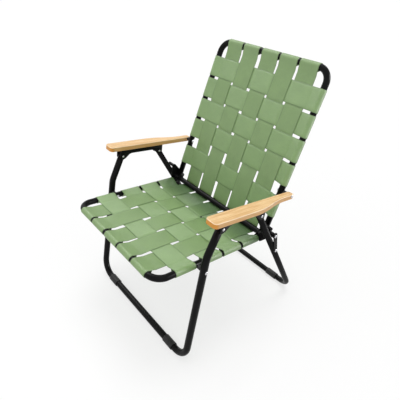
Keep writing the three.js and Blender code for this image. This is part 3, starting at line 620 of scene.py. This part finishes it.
def armrest(sign):
    """Armrest in its own space: plan outline, corners rounded, raised, edges rounded."""
    mesh = bmesh.new()
    tip = (arm_space.inverted() @ back_bolt).y + ARM_TIP_BEYOND_BOLT
    outline = [(-ARM_FRONT, 0), (tip, 0), (tip, ARM_TIP_WIDTH), (ARM_TAPER_END, ARM_TIP_WIDTH),
               (ARM_TAPER_START, ARM_WIDTH), (-ARM_FRONT, ARM_WIDTH)]
    curves = [ARM_CORNER, ARM_TIP_CORNER, ARM_TIP_CORNER, ARM_SWEEP, ARM_SWEEP, ARM_CORNER]
    verts = [mesh.verts.new((sign * out, along, 0)) for along, out in outline]
    mesh.faces.new(verts)
    for vert, curve in zip(verts, curves):
        bmesh.ops.bevel(mesh, geom=[vert], offset=curve, segments=10, profile=0.5, affect="VERTICES",
                        material=-1)
    raised = bmesh.ops.extrude_face_region(mesh, geom=mesh.faces[:])["geom"]
    bmesh.ops.translate(mesh, verts=[item for item in raised if isinstance(item, bmesh.types.BMVert)],
                        vec=(0, 0, ARM_THICKNESS))
    bmesh.ops.recalc_face_normals(mesh, faces=mesh.faces)
    rims = [edge for edge in mesh.edges if edge.calc_face_angle() > RIM_ANGLE]
    bmesh.ops.bevel(mesh, geom=rims, offset=ARM_EDGE, segments=4, profile=0.5, affect="EDGES", material=-1)
    return mesh


for side, sign in SIDES.items():
    name = f"armrest_{side}"
    low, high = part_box(name)
    inner = low[0] if sign > 0 else high[0]
    board = armrest(sign)
    place = Matrix.Translation((inner, 0, 0)) @ arm_space @ Matrix.Translation((0, 0, ARM_RISE))
    bmesh.ops.transform(board, verts=board.verts, matrix=place)
    made = piece(name, board, wood, "wood", f"arm_{side}", [name])
    made.modifiers.new("even_faces", "WEIGHTED_NORMAL")

# Bolts and rivets: zinc plated steel with low domed heads, through the tubes, the plates and
# the armrests; only those of the hinge plates are coated black with them. Each one turns with
# the piece that it is set in.
BOLT_RADIUS = 0.004
RIVET_RADIUS = 0.003
RIVET_HEAD = 0.0047
HEAD_HEIGHT = 0.0022
HEAD_CURVE = 0.0007
ZINC = (0.62, 0.62, 0.64, 1)
ZINC_DULL = (0.42, 0.42, 0.44, 1)
ZINC_SPANGLE = 1100.0
ZINC_HAZE = 700
ZINC_HAZE_SPAN = (0.4, 0.7)
ZINC_SMOOTH = 0.24
ZINC_DULLING = 0.2
DOME_TOP = 0.45
DOME_SIDE = 0.9


def zinc_plate():
    made, shade = start_material("zinc_plate")
    place = shade.node("ShaderNodeTexCoord", {}, {}, "Object")
    spangle = shade.node("ShaderNodeTexVoronoi", {}, {"Vector": place, "Scale": ZINC_SPANGLE})
    haze = noise(shade, place, ZINC_HAZE, detail=3)
    end_material(shade, {
        "Base Color": haze.between(*ZINC_HAZE_SPAN).mix(ZINC, ZINC_DULL),
        "Metallic": 1.0,
        "Roughness": ZINC_SMOOTH + ZINC_DULLING * spangle,
    })
    return made


zinc = zinc_plate()


def domed(x, inward, shank, head):
    """Profile of one head, from the middle of its dome to the shank below it."""
    shoulder = x + inward * HEAD_HEIGHT
    return [(x, 0), (x, head * DOME_TOP), ((x + shoulder) / 2, head * DOME_SIDE), (shoulder, head),
            (shoulder, shank)]


def fastener(name, shank, body, heads=2, material=zinc, slot="zinc", head=HEAD_RADIUS):
    """Bolt or rivet along X, with a head at both ends or only at the outer one."""
    low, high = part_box(name)
    start, end = domed(low[0], 1, shank, head), domed(high[0], -1, shank, head)[::-1]
    if heads == 1 and middle(name).x > 0:
        start = [(low[0], 0), (low[0], shank)]
    elif heads == 1:
        end = [(high[0], shank), (high[0], 0)]
    mesh = turned(start + end, rounding=HEAD_CURVE)
    bmesh.ops.translate(mesh, verts=mesh.verts, vec=at_side(middle(name), 0))
    piece(name, mesh, material, slot, body, [name])


for side in SIDES:
    fastener(f"front_arm_rivet_{side}", RIVET_RADIUS, f"arm_{side}", head=RIVET_HEAD)
    fastener(f"rear_arm_rivet_{side}", RIVET_RADIUS, f"arm_{side}", head=RIVET_HEAD)
    fastener(f"arm_back_bolt_{side}", BOLT_RADIUS, f"arm_{side}")
    fastener(f"seat_leg_bolt_{side}", BOLT_RADIUS, "seat")
    fastener(f"hinge_bolt_{side}", BOLT_RADIUS, "seat", heads=1)
    fastener(f"plate_rivet_{side}", RIVET_RADIUS, "seat", material=black_paint, slot="black_paint")
    fastener(f"link_rivet_{side}", RIVET_RADIUS, f"link_{side}", heads=1)

# Hinge caps: moulded black cap nuts on the inner ends of the hinge bolts, against the lugs.
# They lock the bolt and cover its thread on the side where the sitter's hands go.
CAP_RADIUS = 0.0080
CAP_HEIGHT = 0.0060
CAP_TOP_RADIUS = 0.0056
CAP_SHOULDER = 0.0036
CAP_CURVE = 0.0014
for side, sign in SIDES.items():
    name = f"hinge_bolt_{side}"
    low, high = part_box(name)
    inner = min(sign * low[0], sign * high[0])
    lug_face = inner + HEAD_HEIGHT
    profile = [(lug_face - CAP_HEIGHT, 0), (lug_face - CAP_HEIGHT, CAP_TOP_RADIUS),
               (lug_face - CAP_SHOULDER, CAP_RADIUS), (lug_face, CAP_RADIUS),
               (lug_face, BOLT_RADIUS), (inner, BOLT_RADIUS), (inner, 0)]
    cap = turned([(sign * x, radius) for x, radius in profile[::sign]], rounding=CAP_CURVE)
    bmesh.ops.translate(cap, verts=cap.verts, vec=at_side(middle(name), 0))
    piece(f"hinge_cap_{side}", cap, black_plastic, "black_plastic", "seat", [name])

# Spacers and hinge sleeves: short collars on the bolts. Black plastic ones keep the armrest
# off the back tube and the seat off the leg, and fill the bracket's width beside the thinner
# rear leg; the painted steel ones fill the hinge bolt's length.
COLLAR_EDGE = 0.0008
WASHER_RADIUS = 0.0105
leg_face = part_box("rear_leg_frame")[1][0]
for side, sign in SIDES.items():
    low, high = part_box(f"arm_bracket_{side}")
    cheek = max(sign * low[0], sign * high[0]) - BRACKET_SHEET
    ends = sorted((sign * leg_face, sign * cheek))
    washer = collar(*ends, RIVET_RADIUS, WASHER_RADIUS, COLLAR_EDGE)
    bmesh.ops.translate(washer, verts=washer.verts, vec=at_side(arm_rear, 0))
    piece(f"rear_leg_washer_{side}", washer, black_plastic, "black_plastic", f"arm_{side}",
          [f"arm_bracket_{side}"])
    for kind, material, slot, body in (
        ("arm_back_spacer", black_plastic, "black_plastic", f"arm_{side}"),
        ("seat_leg_spacer", black_plastic, "black_plastic", "seat"),
        ("hinge_sleeve", black_paint, "black_paint", "seat"),
    ):
        name = f"{kind}_{side}"
        low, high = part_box(name)
        ring = collar(low[0], high[0], BOLT_RADIUS, (high[2] - low[2]) / 2, COLLAR_EDGE)
        bmesh.ops.translate(ring, verts=ring.verts, vec=at_side(middle(name), 0))
        piece(name, ring, material, slot, body, [name])

# Seat cross straps: 76 mm woven polypropylene webbing, stretched from side to side. Each end
# goes round the seat tube and is sewn to itself below, and the strap is woven over and under.
# The crease before the cross bar is painted a deeper green, as painted shade.
STRAP_WIDTH = 0.076
STRAP_THICKNESS = 0.0014
STRAP_LEVEL = 0.004
STRAP_TAIL = 0.017
STRAP_REACH = 0.033
STRAP_TOUCH = 0.0055
SAG = 0.010
STRAP_EDGE = 0.0005
STRAP_EDGE_ANGLE = math.radians(50)
STRAP_COLUMNS = 8
WEAVE_RISE = 0.0009
WEAVE_MARGIN = 0.002
WRAP_CLEARANCE = 0.0002
WRAP_STEPS = 26
FLOW_STEPS = 6
RIB_PITCH = 0.0019
PICK_PITCH = 0.0016
# Width of the darker band along each selvedge, painted shade where the straps overlap.
SELVEDGE = 0.0028
SELVEDGE_CORE = 0.00168
CROSS_LIGHT = (0.200, 0.348, 0.102, 1)
CROSS_DEEP = (0.112, 0.211, 0.054, 1)
# Deep green of the painted shade in the crease before the cross bar.
CREASE_SHADE = (0.045, 0.110, 0.026, 1)
CREASE_SHADE_SHARE = 0.92
CREASE_START = 0.158
CREASE_FULL = 0.035
CREASE_END = -0.004
RIB_DEPTH = 0.00019
PICK_SHARE = 0.2
THREAD_SCALE = (1300, 40, 1)
CLOUD_SCALE = 16
STRAP_TONE = 0.6
RIB_TONE = 0.14
THREAD_TONE = 0.7
CLOUD_TONE = 0.5
SELVEDGE_SHADE_TONE = 0.9
STRAP_SMOOTH = 0.42
STRAP_DULLING = 0.12


def webbing(name, light, deep, lengthwise):
    """Ribbed strap, painted darker along its selvedges and in the crease before the cross bar, as painted
    shade. The map of a lengthwise one starts at the cross bar, so its painted crease shade folds with it.
    """
    made, shade = start_material(name)
    place = shade.node("ShaderNodeUVMap", {"uv_map": "strap"}, {})
    across = shade.node("ShaderNodeSeparateXYZ", {}, {"Vector": place})
    along = across.other("Y")
    ribs = shade.maths("SINE", across * (2 * math.pi / RIB_PITCH))
    picks = shade.maths("SINE", along * (2 * math.pi / PICK_PITCH))
    weave = ribs * (1 - PICK_SHARE + PICK_SHARE * picks)
    threads = drawn_out(shade, place, THREAD_SCALE, detail=3)
    cloud = noise(shade, place, CLOUD_SCALE, detail=3)
    # Painted shade: a darker band along each selvedge, where the straps meet and overlap.
    from_edge = STRAP_WIDTH / 2 - shade.maths("ABSOLUTE", across - STRAP_WIDTH / 2)
    selvedge = 1 - from_edge.between(SELVEDGE_CORE, SELVEDGE)
    tone = (STRAP_TONE + RIB_TONE * weave + THREAD_TONE * (threads - 0.5) + CLOUD_TONE * (cloud - 0.5)
            - SELVEDGE_SHADE_TONE * selvedge)
    if lengthwise:
        before_bar = 0 - along
    else:
        spot = shade.node("ShaderNodeTexCoord", {}, {}, "Object")
        before_bar = cross_bar.y - shade.node("ShaderNodeSeparateXYZ", {}, {"Vector": spot}, "Y")
    # Painted shade: the strap is darkened in the crease before the cross bar.
    crease = before_bar.between(CREASE_END, 0.0) * (1 - before_bar.between(CREASE_FULL, CREASE_START))
    strap_colour = tone.between(0.0, 1.0).mix(deep, light)
    bump = shade.node("ShaderNodeBump", {}, {"Height": weave, "Strength": 1.0, "Distance": RIB_DEPTH})
    end_material(shade, {
        "Base Color": (CREASE_SHADE_SHARE * crease).mix(strap_colour, CREASE_SHADE),
        "Roughness": STRAP_SMOOTH + STRAP_DULLING * threads,
        "IOR": 1.6,
        "Specular IOR Level": 1.0,
        "Normal": bump,
    })
    return made


def loop_round(radius):
    """Line of a strap sewn round a tube at the origin, from its hidden tail to its level."""
    reach = radius + WRAP_CLEARANCE + STRAP_THICKNESS / 2
    leave = Vector((STRAP_REACH, STRAP_LEVEL))
    last = math.atan2(leave.y, leave.x) + math.acos(reach / leave.length) - 2 * math.pi
    touch = reach * Vector((math.cos(last), math.sin(last)))
    tail = touch.lerp(leave, (STRAP_TAIL - touch.x) / (STRAP_REACH - touch.x))
    tail.y -= STRAP_THICKNESS + 2 * WRAP_CLEARANCE
    first = math.atan2(tail.y, tail.x) - math.acos(reach / tail.length)
    angles = [first + (last - first) * step / WRAP_STEPS for step in range(WRAP_STEPS + 1)]
    wrapped = [Vector((reach * math.cos(angle), reach * math.sin(angle))) for angle in angles]
    return [tail] + wrapped + [leave]


def flowing(knots):
    """Points between the knots, eased in height as a strap passes from over to under."""
    points = [knots[0]]
    for before, after in zip(knots, knots[1:]):
        for step in range(1, FLOW_STEPS + 1):
            part = step / FLOW_STEPS
            ease = part * part * (3 - 2 * part)
            height = before.y + (after.y - before.y) * ease
            points.append(Vector((before.x + (after.x - before.x) * part, height)))
    return points


def sag(along, loose, tight):
    """How far the weave is drawn in, from none at the loose end to all of it beside the cross bar."""
    return SAG * max(0.0, (along - loose) / (tight - loose)) ** 2


def crossings(centres, levels):
    """Points where the straps with these centres are met and left again, over or under them."""
    flat = STRAP_WIDTH / 2 - WEAVE_MARGIN
    return [Vector((centre + end, level)) for centre, level in zip(centres, levels) for end in (-flat, flat)]


def measured(line):
    """Distance of each point of a line from its start."""
    lengths = [0.0]
    for before, after in zip(line, line[1:]):
        lengths.append(lengths[-1] + (after - before).length)
    return lengths


def strap(name, line, across, material, nodes, body=None, settle=None, start=0):
    """Flat strap with its middle on the line. Its map is in metres, and its length from the start row."""
    mesh = bmesh.new()
    chart = mesh.loops.layers.uv.new("strap")
    rows = len(line) - 1
    lengths = measured(line)
    bmesh.ops.create_grid(mesh, x_segments=STRAP_COLUMNS, y_segments=rows, size=1)
    for face in mesh.faces:
        for loop in face.loops:
            row = round((loop.vert.co.y + 1) / 2 * rows)
            loop[chart].uv = ((loop.vert.co.x + 1) / 2 * STRAP_WIDTH, lengths[row] - lengths[start])
    for vert in mesh.verts:
        row = round((vert.co.y + 1) / 2 * rows)
        vert.co = line[row] + across * (vert.co.x * STRAP_WIDTH / 2)
        if settle:
            vert.co = settle(vert.co)
    made = piece(name, mesh, material, "webbing", body, nodes)
    wall(made, STRAP_THICKNESS, 0.0)
    edge = made.modifiers.new("selvedge", "BEVEL")
    edge.width = STRAP_EDGE
    edge.segments = 2
    edge.limit_method = "ANGLE"
    edge.angle_limit = STRAP_EDGE_ANGLE
    return made, lengths[-1]


cross_webbing = webbing("cross_webbing", CROSS_LIGHT, CROSS_DEEP, False)
LONG_COUNT = 5
STRAP_DRIFT = (0.0, -0.0008, 0.0018, 0.0, 0.0)
long_centres = [middle(f"long_strap_seat_{i}").x + drift for i, drift in enumerate(STRAP_DRIFT, 1)]
X_WAY = Vector((1, 0, 0))


def cross_strap(name, space, j, body, sag_ends):
    """Strap j of a frame from tube to tube, over and under the long straps."""
    def settle(point):
        spot = space.inverted() @ point
        inside = (SEAT_HALF_WIDTH - STRAP_TOUCH - abs(spot.x)) / (STRAP_REACH - STRAP_TOUCH)
        spot.z -= sag(spot.y, *sag_ends) * min(max(inside, 0.0), 1.0)
        return space @ spot

    along = (space.inverted() @ middle(name)).y
    loop = loop_round(TUBE_RADIUS)
    levels = [STRAP_LEVEL + (WEAVE_RISE if (i + j) % 2 == 0 else -WEAVE_RISE)
              for i in range(1, LONG_COUNT + 1)]
    start = [Vector((point.x - SEAT_HALF_WIDTH, point.y)) for point in loop]
    end = [Vector((SEAT_HALF_WIDTH - point.x, point.y)) for point in reversed(loop)]
    woven = flowing([start[-1]] + crossings(long_centres, levels) + [end[0]])
    flat_line = start[:-1] + woven + end[1:]
    line = [space @ Vector((point.x, along, point.y)) for point in flat_line]
    made, length = strap(name, line, space.col[1].to_3d(), cross_webbing, [name], body, settle)


def strap_centres(kind, space, count):
    return [(space.inverted() @ middle(f"{kind}_strap_{j}")).y for j in range(1, count + 1)]


SEAT_STRAPS = 4
seat_centres = strap_centres("seat", seat_space, SEAT_STRAPS)
seat_sag = (SEAT_FRONT_TO_BOLT, seat_centres[-1] + STRAP_WIDTH / 2)
for j in range(1, SEAT_STRAPS + 1):
    cross_strap(f"seat_strap_{j}", seat_space, j, "seat", seat_sag)

# Back cross straps: the same webbing across the back, numbered from the top, looped round the
# two back tubes and sewn behind.
BACK_STRAPS = 5
back_centres = strap_centres("back", back_space, BACK_STRAPS)
back_sag = (back_centres[0], back_centres[-1] - STRAP_WIDTH / 2)
for j in range(1, BACK_STRAPS + 1):
    cross_strap(f"back_strap_{j}", back_space, j, "back", back_sag)

# Long straps: five straps of the same webbing, each in one length from the front bar of the
# seat, woven back under the rear cross bar and up to the top bar, with both ends sewn in loops.
# Their colours are painted a little darker than the cross straps', as painted shade.
# Painted shade: a little darker than the cross straps' colours, for the sheen that only the cross straps
# catch.
LONG_LIGHT_SHADED = (0.190, 0.328, 0.094, 1)
LONG_DEEP_SHADED = (0.106, 0.198, 0.049, 1)
TOP_DRIFT = (-0.0020, -0.0025, 0.0004, 0.0012, 0.0010)
long_webbing = webbing("long_webbing", LONG_LIGHT_SHADED, LONG_DEEP_SHADED, True)
bar_reach = BAR_RADIUS + WRAP_CLEARANCE + STRAP_THICKNESS / 2


def bar_angle(point, turn):
    """Angle on the cross bar at which a straight strap from the point touches it."""
    step = point - cross_bar
    return math.atan2(step.z, step.y) + turn * math.acos(bar_reach / math.hypot(step.y, step.z))


def long_strap(i):
    """Strap i in one length: the loop in front, seat, cross bar, back and the loop on top."""
    under = [STRAP_LEVEL + (-WEAVE_RISE if (i + j) % 2 == 0 else WEAVE_RISE)
             for j in range(1, BACK_STRAPS + 1)]
    loop = loop_round(TUBE_RADIUS)
    on_seat = flowing([loop[-1]] + crossings(seat_centres, under))
    top = [Vector((BACK_LENGTH - point.x, point.y)) for point in reversed(loop)]
    on_back = flowing(crossings(back_centres[::-1], under[::-1]) + [top[0]])
    aslant = TOP_DRIFT[i - 1] / BACK_LENGTH
    seat_part = [seat_space @ Vector((0, point.x, point.y - sag(point.x, *seat_sag)))
                 for point in loop[:-1] + on_seat]
    back_part = [back_space @ Vector((point.x * aslant, point.x, point.y - sag(point.x, *back_sag)))
                 for point in on_back + top[1:]]
    first = bar_angle(seat_part[-1], 1)
    last = bar_angle(back_part[0], -1)
    first -= 2 * math.pi if first > 0 else 0
    angles = [first + (last - first) * step / WRAP_STEPS for step in range(WRAP_STEPS + 1)]
    round_bar = [cross_bar + bar_reach * Vector((0, math.cos(angle), math.sin(angle))) for angle in angles]
    shift = Vector((long_centres[i - 1], 0, 0))
    line = [point + shift for point in seat_part + round_bar + back_part]
    made, length = strap(f"long_strap_{i}", line, X_WAY, long_webbing,
                         [f"long_strap_seat_{i}", f"long_strap_back_{i}"], start=len(seat_part))
    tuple(round_bar[-1])
    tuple(back_part[0])
    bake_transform(made)


for i in range(1, LONG_COUNT + 1):
    long_strap(i)

# Studio: a white floor that keeps the chair's soft shadow, and a white room that is dim behind
# the chair. One soft key from above adds no gloss, and two lamps add only gloss: the sheen from
# the left and the rim from behind on the right.
FLOOR_HALF = 20.0
FLOOR_WHITE = (0.88, 0.88, 0.88, 1)
FLOOR_GLOW = 0.7
LOW_LIGHT = 0.90
TOP_LIGHT = 1.0
REAR_LIGHT = 0.2
REAR_SPAN = (0.25, 0.6)
WHITE = (1, 1, 1, 1)
KEY_STRENGTH = 1.22
KEY_SPREAD = math.radians(28)
KEY_TURN = (math.radians(14), 0, math.radians(200))
SHEEN_STRENGTH = 1.4
SHEEN_SPREAD = math.radians(30)
SHEEN_TURN = (math.radians(40.5), 0, math.radians(-99))
RIM_STRENGTH = 3.0
RIM_SPREAD = math.radians(25)
RIM_TURN = (math.radians(74), 0, math.radians(142))


def in_sight(shade):
    """1 where the camera sees a surface, straight or in a reflection, and 0 where it only gives light."""
    ray = shade.node("ShaderNodeLightPath", {}, {}, "Is Camera Ray")
    return shade.maths("MINIMUM", ray + ray.other("Is Glossy Ray") + ray.other("Is Transmission Ray"), 1.0)


def studio_floor():
    """White paper: part of what the camera sees is plain white, so the shadow stays light."""
    made, shade = start_material("white_floor")
    paper = shade.node("ShaderNodeBsdfDiffuse", {}, {"Color": FLOOR_WHITE})
    glow = shade.node("ShaderNodeEmission", {}, {"Color": WHITE, "Strength": 1.0})
    surface = shade.node("ShaderNodeMixShader", {}, {0: FLOOR_GLOW * in_sight(shade), 1: paper, 2: glow})
    shade.node("ShaderNodeOutputMaterial", {}, {"Surface": surface})
    return made


ground = bmesh.new()
bmesh.ops.create_grid(ground, x_segments=1, y_segments=1, size=FLOOR_HALF)
floor_data = bpy.data.meshes.new("studio_floor")
ground.to_mesh(floor_data)
ground.free()
floor_data.materials.append(studio_floor())
floor = bpy.data.objects.new("studio_floor", floor_data)
bpy.context.scene.collection.objects.link(floor)

room = bpy.data.worlds.new("white_room")
room.use_nodes = True
room.node_tree.nodes.clear()
air = Shade(room.node_tree)
way = air.node("ShaderNodeTexCoord", {}, {}, "Generated")
depth = air.node("ShaderNodeSeparateXYZ", {}, {"Vector": way}, "Y")
front = LOW_LIGHT + (TOP_LIGHT - LOW_LIGHT) * air.maths("MAXIMUM", depth.other("Z"), 0.0)
light = front + (REAR_LIGHT - front) * depth.between(*REAR_SPAN)
strength = light + (1 - light) * in_sight(air)
sky = air.node("ShaderNodeBackground", {}, {"Color": WHITE, "Strength": strength})
air.node("ShaderNodeOutputWorld", {}, {"Surface": sky})
bpy.context.scene.world = room


def sun(name, strength, spread, turn):
    lamp = bpy.data.lights.new(name, "SUN")
    lamp.energy = strength
    lamp.angle = spread
    made = bpy.data.objects.new(name, lamp)
    made.rotation_euler = turn
    bpy.context.scene.collection.objects.link(made)
    return made


overhead = sun("key", KEY_STRENGTH, KEY_SPREAD, KEY_TURN)
overhead.visible_glossy = False
for name, strength, spread, turn in (
    ("sheen", SHEEN_STRENGTH, SHEEN_SPREAD, SHEEN_TURN),
    ("rim", RIM_STRENGTH, RIM_SPREAD, RIM_TURN),
):
    gloss = sun(name, strength, spread, turn)
    gloss.visible_diffuse = False

# Camera: at the photograph's viewing angle, above the chair's front left corner. Its place and
# lens were fitted to the chair's edges.
CAMERA_PLACE = (0.96603, -0.75260, 1.25659)
CAMERA_LENS = 35.976
CAMERA_AZIMUTH = math.radians(51.3)
CAMERA_ELEVATION = math.radians(34.74)
CAMERA_ROLL = math.radians(-0.44)
lens = bpy.data.cameras.new("camera")
lens.lens = CAMERA_LENS
camera = bpy.data.objects.new("camera", lens)
camera.matrix_world = (
    Matrix.Translation(CAMERA_PLACE)
    @ Matrix.Rotation(CAMERA_AZIMUTH, 4, "Z")
    @ Matrix.Rotation(math.pi / 2 - CAMERA_ELEVATION, 4, "X")
    @ Matrix.Rotation(CAMERA_ROLL, 4, "Z")
)
bpy.context.scene.collection.objects.link(camera)
bpy.context.scene.camera = camera
bpy.context.scene.view_settings.view_transform = "Standard"
